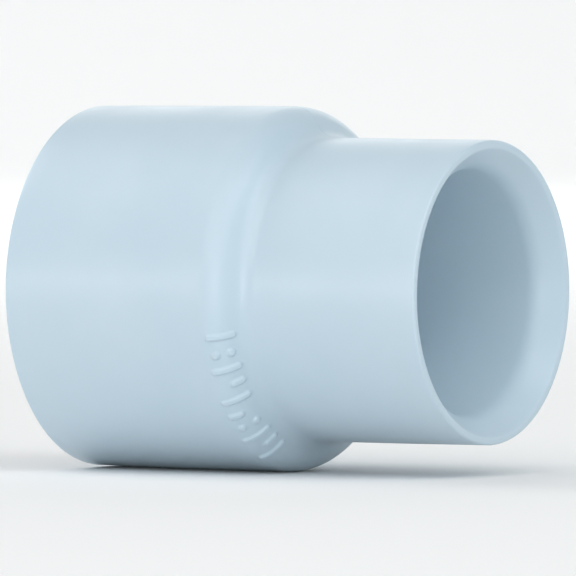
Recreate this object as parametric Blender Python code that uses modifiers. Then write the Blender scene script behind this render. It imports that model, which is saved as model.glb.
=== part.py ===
"""Reducing coupling: one moulded PVC pressure fitting that joins a 1-1/4 in pipe
to a 1 in pipe, with a solvent-weld socket at each end.

Frame: metres, +Z up. The bore runs along X, the large socket opens towards -X and
the small one towards +X. The origin is on the bore's axis, half way along the body.

The fitting is a single injection moulding, so the model holds one closed body:
a profile of the wall, turned about the axis with a Screw modifier.
"""
import math

import bpy

# ---------------------------------------------------------------- dimensions (m)
LENGTH = 0.0635                 # mouth to mouth

LARGE_OD_MOUTH = 0.0503         # large hub, outside, at its mouth
LARGE_OD_SHOULDER = 0.0506      # the same hub where the shoulder starts (mould draft)
SMALL_OD_SHOULDER = 0.0421      # small hub, outside, where it leaves the shoulder
SMALL_OD_MOUTH = 0.0418         # the same hub at its mouth

LARGE_SOCKET_ENTRY = 0.04242    # tapered socket for 42.2 mm pipe, at the mouth
LARGE_SOCKET_BOTTOM = 0.04204   # and at the pipe stop
LARGE_SOCKET_DEPTH = 0.03175
SMALL_SOCKET_ENTRY = 0.03366    # tapered socket for 33.4 mm pipe, at the mouth
SMALL_SOCKET_BOTTOM = 0.03327   # and at the pipe stop
SMALL_SOCKET_DEPTH = 0.02858
WATERWAY_DIA = 0.0266           # bore through the web, as the smaller pipe's own bore

SHOULDER_CROWN = 0.0338         # from the large mouth to the shoulder's outside corner
SHOULDER_LEAN = 0.0028          # how far its face leans over, down to the small hub
SHOULDER_CROWN_R = 0.0045       # rounding of the outside corner
SHOULDER_ROOT_R = 0.0030        # inside corner, at the small hub

LEAD_IN_WIDTH = 0.0030          # lead-in chamfer of each socket, measured radially
LEAD_IN_DEPTH = 0.0034          # and along the bore
LEAD_IN_BLEND = 0.0005          # soft break between lead-in and rim
LEAD_IN_FOOT_R = 0.0040         # and a longer one where it runs into the socket
RIM_EDGE_R = 0.0004             # outside edge of each rim
STOP_ROOT_R = 0.0004            # small fillet in the corner of each pipe stop
WATERWAY_BREAK = 0.0004         # bevel on the waterway's two edges

STEPS = 72                      # facets round the axis

COLOR = (0.62, 0.74, 0.82, 1.0)
ROUGHNESS = 0.38


# ---------------------------------------------------------------- wall profile
def corner(p_in, p, p_out, radius, count):
    """Points of an arc of the given radius that rounds the corner p."""
    ax, az = p_in[0] - p[0], p_in[1] - p[1]
    bx, bz = p_out[0] - p[0], p_out[1] - p[1]
    la, lb = math.hypot(ax, az), math.hypot(bx, bz)
    ax, az, bx, bz = ax / la, az / la, bx / lb, bz / lb
    half = 0.5 * math.acos(max(-1.0, min(1.0, ax * bx + az * bz)))
    reach = radius / math.tan(half)
    mx, mz = ax + bx, az + bz
    lm = math.hypot(mx, mz)
    cx = p[0] + mx / lm * radius / math.sin(half)
    cz = p[1] + mz / lm * radius / math.sin(half)
    start = (p[0] + ax * reach, p[1] + az * reach)
    end = (p[0] + bx * reach, p[1] + bz * reach)
    a0 = math.atan2(start[1] - cz, start[0] - cx)
    a1 = math.atan2(end[1] - cz, end[0] - cx)
    turn = (a1 - a0 + math.pi) % (2.0 * math.pi) - math.pi
    return [(cx + radius * math.cos(a0 + turn * i / count),
             cz + radius * math.sin(a0 + turn * i / count)) for i in range(count + 1)]


def wall_profile():
    """(radius, height) round the wall's section: down the outside from the small
    mouth to the large one, then back up through the sockets. Height 0 is mid length."""
    top = 0.5 * LENGTH
    bottom = -0.5 * LENGTH
    crown = bottom + SHOULDER_CROWN
    root = crown + SHOULDER_LEAN
    stop_large = bottom + LARGE_SOCKET_DEPTH
    stop_small = top - SMALL_SOCKET_DEPTH
    r_small_rim = 0.5 * SMALL_SOCKET_ENTRY + LEAD_IN_WIDTH
    r_large_rim = 0.5 * LARGE_SOCKET_ENTRY + LEAD_IN_WIDTH
    r_way = 0.5 * WATERWAY_DIA

    # Each entry: (radius, height, corner radius, arcs in the corner)
    path = [
        (0.5 * SMALL_OD_MOUTH, top, RIM_EDGE_R, 3),
        (0.5 * SMALL_OD_SHOULDER, root, SHOULDER_ROOT_R, 5),
        (0.5 * LARGE_OD_SHOULDER, crown, SHOULDER_CROWN_R, 8),
        (0.5 * LARGE_OD_MOUTH, bottom, RIM_EDGE_R, 3),
        (r_large_rim, bottom, LEAD_IN_BLEND, 2),
        (0.5 * LARGE_SOCKET_ENTRY, bottom + LEAD_IN_DEPTH, LEAD_IN_FOOT_R, 3),
        (0.5 * LARGE_SOCKET_BOTTOM, stop_large, STOP_ROOT_R, 2),
        (r_way + WATERWAY_BREAK, stop_large, 0.0, 0),
        (r_way, stop_large + WATERWAY_BREAK, 0.0, 0),
        (r_way, stop_small - WATERWAY_BREAK, 0.0, 0),
        (r_way + WATERWAY_BREAK, stop_small, 0.0, 0),
        (0.5 * SMALL_SOCKET_BOTTOM, stop_small, STOP_ROOT_R, 2),
        (0.5 * SMALL_SOCKET_ENTRY, top - LEAD_IN_DEPTH, LEAD_IN_FOOT_R, 3),
        (r_small_rim, top, LEAD_IN_BLEND, 2),
    ]
    points = []
    for i, (r, h, radius, count) in enumerate(path):
        if radius <= 0.0:
            points.append((r, h))
            continue
        before = path[i - 1]
        after = path[(i + 1) % len(path)]
        points += corner(before[:2], (r, h), after[:2], radius, count)
    return points


# ---------------------------------------------------------------- model
def clear_scene():
    for obj in list(bpy.data.objects):
        bpy.data.objects.remove(obj, do_unlink=True)


def pvc_material():
    mat = bpy.data.materials.new("pvc")
    mat.use_nodes = True
    bsdf = mat.node_tree.nodes["Principled BSDF"]
    bsdf.inputs["Base Color"].default_value = COLOR
    bsdf.inputs["Roughness"].default_value = ROUGHNESS
    bsdf.inputs["Metallic"].default_value = 0.0
    return mat


def main():
    clear_scene()
    parts = bpy.data.collections.new("reducing_coupling")
    bpy.context.scene.collection.children.link(parts)

    points = wall_profile()
    mesh = bpy.data.meshes.new("coupling_body")
    count = len(points)
    mesh.from_pydata([(r, 0.0, h) for r, h in points],
                     [(i, (i + 1) % count) for i in range(count)], [])
    body = bpy.data.objects.new("coupling_body", mesh)
    parts.objects.link(body)
    mesh.materials.append(pvc_material())

    turn = body.modifiers.new("turn_about_bore", "SCREW")
    turn.axis = "Z"
    turn.angle = 2.0 * math.pi
    turn.steps = STEPS
    turn.render_steps = STEPS
    turn.use_merge_vertices = True
    turn.merge_threshold = 0.00001
    turn.use_smooth_shade = True

    # The profile is drawn about Z; the bore lies along X, small mouth at +X.
    body.rotation_euler = (0.0, 0.5 * math.pi, 0.0)


main()
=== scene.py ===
"""The looks of the reducing coupling: one moulded PVC fitting on a pale studio floor."""
import math

import bpy
import numpy as np
from mathutils import Matrix, Vector


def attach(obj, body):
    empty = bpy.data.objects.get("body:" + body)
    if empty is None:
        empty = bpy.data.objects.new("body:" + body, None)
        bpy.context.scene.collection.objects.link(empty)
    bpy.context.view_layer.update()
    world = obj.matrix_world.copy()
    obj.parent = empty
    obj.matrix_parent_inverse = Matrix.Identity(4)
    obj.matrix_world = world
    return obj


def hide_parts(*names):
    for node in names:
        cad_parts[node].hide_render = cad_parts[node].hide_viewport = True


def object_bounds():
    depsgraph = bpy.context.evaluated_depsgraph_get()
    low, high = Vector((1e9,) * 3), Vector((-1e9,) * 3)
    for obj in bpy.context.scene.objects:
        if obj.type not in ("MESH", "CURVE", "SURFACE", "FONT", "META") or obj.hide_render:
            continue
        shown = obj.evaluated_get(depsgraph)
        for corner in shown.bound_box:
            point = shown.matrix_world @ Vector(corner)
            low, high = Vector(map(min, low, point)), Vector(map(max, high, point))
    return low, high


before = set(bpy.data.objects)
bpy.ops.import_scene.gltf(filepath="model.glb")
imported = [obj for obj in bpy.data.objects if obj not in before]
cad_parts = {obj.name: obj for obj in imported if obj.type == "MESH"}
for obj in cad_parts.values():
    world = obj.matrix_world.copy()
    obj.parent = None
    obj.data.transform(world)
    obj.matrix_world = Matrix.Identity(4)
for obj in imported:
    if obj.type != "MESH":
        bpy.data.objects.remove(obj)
CAD_LO, CAD_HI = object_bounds()

MM = 0.001

# ------------------------------------------------------------------ dimensions (mm)
# The same wall as the CAD body: s runs along the bore from the large mouth (0) to the
# small mouth (LENGTH), r is the radius about the bore's axis.
LENGTH = 63.5
R_LARGE_MOUTH, R_LARGE_SHOULDER = 25.15, 25.30
R_SMALL_SHOULDER, R_SMALL_MOUTH = 21.05, 20.90
R_SOCKET_L_IN, R_SOCKET_L_END, DEPTH_L = 21.21, 21.02, 31.75
R_SOCKET_S_IN, R_SOCKET_S_END, DEPTH_S = 16.83, 16.635, 28.58
R_WAY = 13.3
CROWN, LEAN, CROWN_R, ROOT_R = 33.8, 2.8, 4.5, 3.0
LEAD_WIDTH, LEAD_DEPTH = 3.0, 3.4
RIM_EDGE_R = 0.4


# ------------------------------------------------------------------ the wall's profile
def arc(p_in, p, p_out, radius, count):
    """Points of an arc that rounds the corner p."""
    p_in, p, p_out = (np.array(q, float) for q in (p_in, p, p_out))
    a = (p_in - p) / np.linalg.norm(p_in - p)
    b = (p_out - p) / np.linalg.norm(p_out - p)
    half = 0.5 * math.acos(max(-1.0, min(1.0, float(a @ b))))
    reach = radius / math.tan(half)
    mid = (a + b) / np.linalg.norm(a + b)
    c = p + mid * radius / math.sin(half)
    s, e = p + a * reach - c, p + b * reach - c
    a0, a1 = math.atan2(s[1], s[0]), math.atan2(e[1], e[0])
    turn = (a1 - a0 + math.pi) % (2 * math.pi) - math.pi
    return [(c[0] + radius * math.cos(a0 + turn * i / count),
             c[1] + radius * math.sin(a0 + turn * i / count)) for i in range(count + 1)]


def run(p, q, step):
    """Points between p and q, ends left out, no further apart than step."""
    n = max(1, int(math.ceil(math.dist(p, q) / step)))
    return [(p[0] + (q[0] - p[0]) * i / n, p[1] + (q[1] - p[1]) * i / n) for i in range(1, n)]


def wall_profile():
    """Closed loop of (s, r): down the outside from the small mouth to the large one, then
    back through the sockets. Also how far each point is from the shoulder's crown,
    measured along the surface, which places the raised marks."""
    stop_l, stop_s = DEPTH_L, LENGTH - DEPTH_S
    root = CROWN + LEAN
    # (s, r, corner radius, points in its arc, spacing of the run that follows)
    path = [
        (LENGTH, R_SMALL_MOUTH, RIM_EDGE_R, 6, 2.4),
        (root, R_SMALL_SHOULDER, ROOT_R, 9, 0.16),
        (CROWN, R_LARGE_SHOULDER, CROWN_R, 20, 2.4),
        (0.0, R_LARGE_MOUTH, RIM_EDGE_R, 6, 0.5),
        (0.0, R_SOCKET_L_IN + LEAD_WIDTH, 0.7, 7, 0.5),
        (LEAD_DEPTH, R_SOCKET_L_IN, 4.0, 8, 3.0),
        (stop_l, R_SOCKET_L_END, 0.4, 4, 1.8),
        (stop_l, R_WAY, 0.4, 5, 1.0),
        (stop_s, R_WAY, 0.4, 5, 1.0),
        (stop_s, R_SOCKET_S_END, 0.4, 4, 3.0),
        (LENGTH - LEAD_DEPTH, R_SOCKET_S_IN, 4.0, 8, 0.6),
        (LENGTH, R_SOCKET_S_IN + LEAD_WIDTH, 0.7, 7, 0.5),
    ]
    points, steps = [], []
    for i, (s, r, radius, count, step) in enumerate(path):
        before, after = path[i - 1], path[(i + 1) % len(path)]
        corner = arc(before[:2], (s, r), after[:2], radius, count)
        points.append(corner)
        steps.append(step)
    loop, crown_at = [], None
    for i, corner in enumerate(points):
        if i == 2:
            crown_at = (len(loop), len(loop) + len(corner) - 1)
        loop += corner
        loop += run(corner[-1], points[(i + 1) % len(points)][0], steps[i])
    return loop, crown_at


def stations():
    """Angles round the bore, in degrees from the top towards -Y: close together where
    the raised marks and the two mould lines are."""
    cuts = [(-0.75, 0.75, 0.15), (0.75, 99.0, 1.0), (99.0, 161.0, 0.25),
            (161.0, 179.25, 0.9), (179.25, 180.75, 0.15), (180.75, 359.25, 1.0)]
    out = []
    for a, b, step in cuts:
        n = int(round((b - a) / step))
        out += [a + (b - a) * i / n for i in range(n)]
    return np.array(out)


def smooth(t):
    t = np.clip(t, 0.0, 1.0)
    return t * t * (3.0 - 2.0 * t)


# ------------------------------------------------------------------ raised marks
# Plain tick marks and pips on the shoulder, where the real fitting has raised marks.
# (angle, kind): a long tick, a short tick near either edge of the band, or two pips.
MARKS = [(104.0, "long"), (110.0, "pips"), (115.5, "long"), (121.0, "near"),
         (127.0, "long"), (133.0, "far"), (138.5, "pips"), (144.5, "long"),
         (150.0, "near"), (155.5, "long")]
MARK_H = 0.30                    # how far they stand proud
MARK_W = 0.26                    # half the width of a tick's flat top
MARK_SIDE = 0.34                 # run of its sloping side


def mark_height(u, angle, r):
    """Height of the marks at surface distance u from the band's middle (mm, towards the
    large hub positive) and angle round the bore."""
    h = np.zeros_like(u)
    for a0, kind in MARKS:
        v = np.radians(angle - a0) * r
        if kind == "pips":
            shapes = [(-1.15, -1.15), (1.15, 1.15)]
        else:
            shapes = {"long": [(-1.75, 1.75)], "near": [(-1.75, -0.35)], "far": [(0.35, 1.75)]}[kind]
        for lo, hi in shapes:
            over = u - np.clip(u, lo, hi)
            d = np.sqrt(over * over + v * v)
            half = MARK_W + (0.12 if kind == "pips" else 0.0)
            h = np.maximum(h, smooth((half + MARK_SIDE - d) / MARK_SIDE))
    return MARK_H * h


# ------------------------------------------------------------------ the moulding
def build_body():
    loop, crown_at = wall_profile()
    prof = np.array(loop)                                     # (n, 2): s, r
    n = len(prof)
    ang = stations()
    m = len(ang)

    # Outward normals of the profile, from the neighbours on each side.
    d = np.roll(prof, -1, 0) - np.roll(prof, 1, 0)
    d /= np.linalg.norm(d, axis=1)[:, None]
    normal = np.stack([d[:, 1], -d[:, 0]], 1)
    mid = (crown_at[0] + crown_at[1]) // 2
    if normal[mid][1] < 0:
        normal = -normal

    # Distance along the surface from the middle of the shoulder's band.
    seg = np.linalg.norm(np.diff(prof, axis=0), axis=1)
    along = np.concatenate([[0.0], np.cumsum(seg)])
    band_mid = 0.5 * (along[crown_at[0]] + along[crown_at[1]]) - 0.95
    u = along - band_mid
    outside = np.zeros(n, bool)
    outside[: crown_at[1] + 12] = True

    A, U = np.meshgrid(ang, u)
    S = np.repeat(prof[:, :1], m, 1)
    R = np.repeat(prof[:, 1:], m, 1)
    near = np.repeat(((np.abs(u) < 3.2) & outside)[:, None], m, 1)
    lift = np.where(near, mark_height(U, A, R), 0.0)

    # The mould's two halves leave a faint line along the outside, top and bottom.
    on_skin = np.repeat((outside & (np.abs(normal[:, 1]) > 0.05))[:, None], m, 1)
    for a0 in (0.0, 180.0):
        off = np.abs((A - a0 + 180.0) % 360.0 - 180.0)
        lift += np.where(on_skin, 0.035 * smooth((0.32 - off) / 0.3), 0.0)

    # A moulding is never perfectly round or straight: a few hundredths of a millimetre.
    rad = np.radians(A)
    wave = (0.020 * np.sin(2 * rad + 0.11 * S) + 0.012 * np.sin(3 * rad + 1.3 - 0.19 * S)
            + 0.008 * np.sin(5 * rad + 0.31 * S + 0.7) + 0.006 * np.sin(0.42 * S + 0.5))
    lift = lift + wave - 0.046

    NS = np.repeat(normal[:, :1], m, 1)
    NR = np.repeat(normal[:, 1:], m, 1)
    S2, R2 = S + NS * lift, R + NR * lift
    S2 = np.clip(S2, 0.0, LENGTH)
    X = (S2 - 0.5 * LENGTH) * MM
    Y = -R2 * np.sin(rad) * MM
    Z = R2 * np.cos(rad) * MM
    co = np.stack([X, Y, Z], -1).reshape(-1, 3)

    i = np.arange(n)[:, None]
    j = np.arange(m)[None, :]
    i2, j2 = (i + 1) % n, (j + 1) % m
    quads = np.stack([i * m + j, i2 * m + j, i2 * m + j2, i * m + j2], -1).reshape(-1, 4)

    mesh = bpy.data.meshes.new("coupling_moulding")
    mesh.from_pydata(co.tolist(), [], quads.tolist())
    mesh.update()
    obj = bpy.data.objects.new("coupling_moulding", mesh)
    bpy.context.scene.collection.objects.link(obj)

    # Faces must point out of the wall: turn the mesh if its volume is negative.
    c = co[quads]
    volume = np.einsum("ij,ij->i", c[:, 0], np.cross(c[:, 1], c[:, 2])).sum()
    volume += np.einsum("ij,ij->i", c[:, 0], np.cross(c[:, 2], c[:, 3])).sum()
    if volume < 0:
        mesh.flip_normals()
    mesh.shade_smooth()
    return obj


# ------------------------------------------------------------------ materials
def node(tree, kind, at, **values):
    nd = tree.nodes.new(kind)
    nd.location = at
    for k, v in values.items():
        if hasattr(nd, k):
            setattr(nd, k, v)
        else:
            nd.inputs[k].default_value = v
    return nd


def pvc_material():
    mat = bpy.data.materials.new("moulded_pvc")
    mat.use_nodes = True
    t = mat.node_tree
    bsdf = t.nodes["Principled BSDF"]
    link = t.links.new
    coord = node(t, "ShaderNodeTexCoord", (-1200, 0))

    # Colour: pale blue-white, with the faint drift that pigment takes as it flows.
    drift = node(t, "ShaderNodeTexNoise", (-900, 300), Scale=42.0, Detail=3.0, Roughness=0.55)
    link(coord.outputs["Object"], drift.inputs["Vector"])
    tint = node(t, "ShaderNodeValToRGB", (-650, 300))
    tint.color_ramp.elements[0].position = 0.30
    tint.color_ramp.elements[0].color = (0.505, 0.625, 0.713, 1.0)
    tint.color_ramp.elements[1].position = 0.72
    tint.color_ramp.elements[1].color = (0.538, 0.655, 0.735, 1.0)
    link(drift.outputs["Fac"], tint.inputs["Fac"])
    link(tint.outputs["Color"], bsdf.inputs["Base Color"])

    # Gloss: satin, a little uneven.
    gloss = node(t, "ShaderNodeTexNoise", (-900, 0), Scale=160.0, Detail=4.0, Roughness=0.6)
    link(coord.outputs["Object"], gloss.inputs["Vector"])
    spread = node(t, "ShaderNodeMapRange", (-650, 0))
    spread.inputs["From Min"].default_value = 0.3
    spread.inputs["From Max"].default_value = 0.7
    spread.inputs["To Min"].default_value = 0.29
    spread.inputs["To Max"].default_value = 0.38
    link(gloss.outputs["Fac"], spread.inputs["Value"])
    link(spread.outputs["Result"], bsdf.inputs["Roughness"])

    # Skin: the soft orange-peel of moulded plastic and a fine grain from the tool.
    peel = node(t, "ShaderNodeTexNoise", (-900, -300), Scale=420.0, Detail=2.0, Roughness=0.5)
    grain = node(t, "ShaderNodeTexNoise", (-900, -550), Scale=2600.0, Detail=2.0, Roughness=0.6)
    link(coord.outputs["Object"], peel.inputs["Vector"])
    link(coord.outputs["Object"], grain.inputs["Vector"])
    bump1 = node(t, "ShaderNodeBump", (-420, -300), Strength=0.30, Distance=0.00006)
    bump2 = node(t, "ShaderNodeBump", (-200, -450), Strength=0.20, Distance=0.00001)
    link(peel.outputs["Fac"], bump1.inputs["Height"])
    link(grain.outputs["Fac"], bump2.inputs["Height"])
    link(bump1.outputs["Normal"], bump2.inputs["Normal"])
    link(bump2.outputs["Normal"], bsdf.inputs["Normal"])

    bsdf.inputs["IOR"].default_value = 1.53
    bsdf.inputs["Subsurface Weight"].default_value = 0.12
    bsdf.inputs["Subsurface Radius"].default_value = (0.9, 1.0, 1.0)
    bsdf.inputs["Subsurface Scale"].default_value = 0.0016
    return mat


def stage_material():
    mat = bpy.data.materials.new("studio_floor")
    mat.use_nodes = True
    bsdf = mat.node_tree.nodes["Principled BSDF"]
    bsdf.inputs["Base Color"].default_value = (0.92, 0.92, 0.92, 1.0)
    bsdf.inputs["Roughness"].default_value = 0.85
    bsdf.inputs["Specular IOR Level"].default_value = 0.2
    return mat


# ------------------------------------------------------------------ floor and lights
def build_stage(z):
    """A round floor that sweeps up into a low wall all the way round, with no horizon."""
    r0, fillet, top = 1.9, 0.45, 0.9
    prof = [(0.0, 0.0)] + [(r0 * k / 6.0, 0.0) for k in range(1, 7)]
    prof += [(r0 + fillet * math.sin(a), fillet * (1 - math.cos(a)))
             for a in np.radians(np.arange(5, 91, 5))]
    prof.append((r0 + fillet, top))
    m = 96
    verts = [(0.0, 0.0, z)]
    for r, h in prof[1:]:
        verts += [(r * math.cos(2 * math.pi * k / m), r * math.sin(2 * math.pi * k / m), z + h)
                  for k in range(m)]
    faces = [(0, 1 + k, 1 + (k + 1) % m) for k in range(m)]
    for i in range(len(prof) - 2):
        a, b = 1 + i * m, 1 + (i + 1) * m
        faces += [(a + k, b + k, b + (k + 1) % m, a + (k + 1) % m) for k in range(m)]
    mesh = bpy.data.meshes.new("studio_floor")
    mesh.from_pydata(verts, [], faces)
    mesh.update()
    obj = bpy.data.objects.new("studio_floor", mesh)
    bpy.context.scene.collection.objects.link(obj)
    mesh.materials.append(stage_material())
    mesh.shade_smooth()
    return obj


def area_light(name, azimuth, elevation, distance, size, power, color=(1.0, 1.0, 1.0)):
    a, e = math.radians(azimuth), math.radians(elevation)
    back = Vector((math.sin(a) * math.cos(e), -math.cos(a) * math.cos(e), math.sin(e)))
    data = bpy.data.lights.new(name, "AREA")
    data.shape = "RECTANGLE"
    data.size, data.size_y = size
    data.energy = power
    data.color = color
    obj = bpy.data.objects.new(name, data)
    obj.location = back * distance
    obj.rotation_mode = "QUATERNION"
    obj.rotation_quaternion = (-back).to_track_quat("-Z", "Y")
    bpy.context.scene.collection.objects.link(obj)
    return obj


def floor_light(azimuth, distance, height, size, power):
    """A soft light that looks straight down on the floor behind the object."""
    obj = area_light("floor_wash", azimuth, 0.0, distance, size, power)
    obj.location.z = height
    obj.rotation_quaternion = (1.0, 0.0, 0.0, 0.0)
    obj.data.spread = math.radians(100.0)
    return obj


def build_world(strength, color):
    world = bpy.data.worlds.new("studio")
    bpy.context.scene.world = world
    world.use_nodes = True
    bg = world.node_tree.nodes["Background"]
    bg.inputs["Color"].default_value = (*color, 1.0)
    bg.inputs["Strength"].default_value = strength


def build_camera():
    azimuth, elevation, distance, lens = 32.0, 1.75, 1.5, 678.0
    a, e = math.radians(azimuth), math.radians(elevation)
    back = Vector((math.sin(a) * math.cos(e), -math.cos(a) * math.cos(e), math.sin(e)))
    cam = bpy.data.cameras.new("camera")
    cam.lens = lens
    cam.sensor_width = 36.0
    cam.clip_start, cam.clip_end = 0.1, 20.0
    obj = bpy.data.objects.new("camera", cam)
    rot = (-back).to_track_quat("-Z", "Y")
    right = rot @ Vector((1.0, 0.0, 0.0))
    up = rot @ Vector((0.0, 1.0, 0.0))
    # Aim a little to one side of the part's middle, as the framing has it.
    target = right * (-0.00113) + up * (0.00015)
    obj.location = target + back * distance
    obj.rotation_mode = "QUATERNION"
    obj.rotation_quaternion = rot
    bpy.context.scene.collection.objects.link(obj)
    bpy.context.scene.camera = obj


# ------------------------------------------------------------------ put together
body = build_body()
body.data.materials.append(pvc_material())
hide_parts("coupling_body")
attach(body, "root")

build_stage(CAD_LO.z)
build_camera()
build_world(0.43, (0.95, 0.99, 1.0))
area_light("key", 22, 45, 1.7, (2.0, 1.6), 11.2, (1.0, 0.95, 0.94))
area_light("front", 34, 3, 1.8, (0.8, 0.2), 4.0, (0.90, 1.0, 1.0))
area_light("strip", -31, 4, 1.8, (1.2, 0.14), 2.7)
area_light("left", 270, 35, 1.8, (1.0, 0.8), 8.4)
area_light("right", 85, 40, 1.7, (1.0, 0.8), 5.4, (0.90, 0.98, 1.0))
area_light("back", 205, 22, 1.8, (1.2, 0.8), 2.6)
floor_light(212.0, 1.55, 1.1, (1.3, 1.0), 2.8)

bpy.context.scene.view_settings.view_transform = "Standard"
bpy.context.scene.view_settings.look = "None"
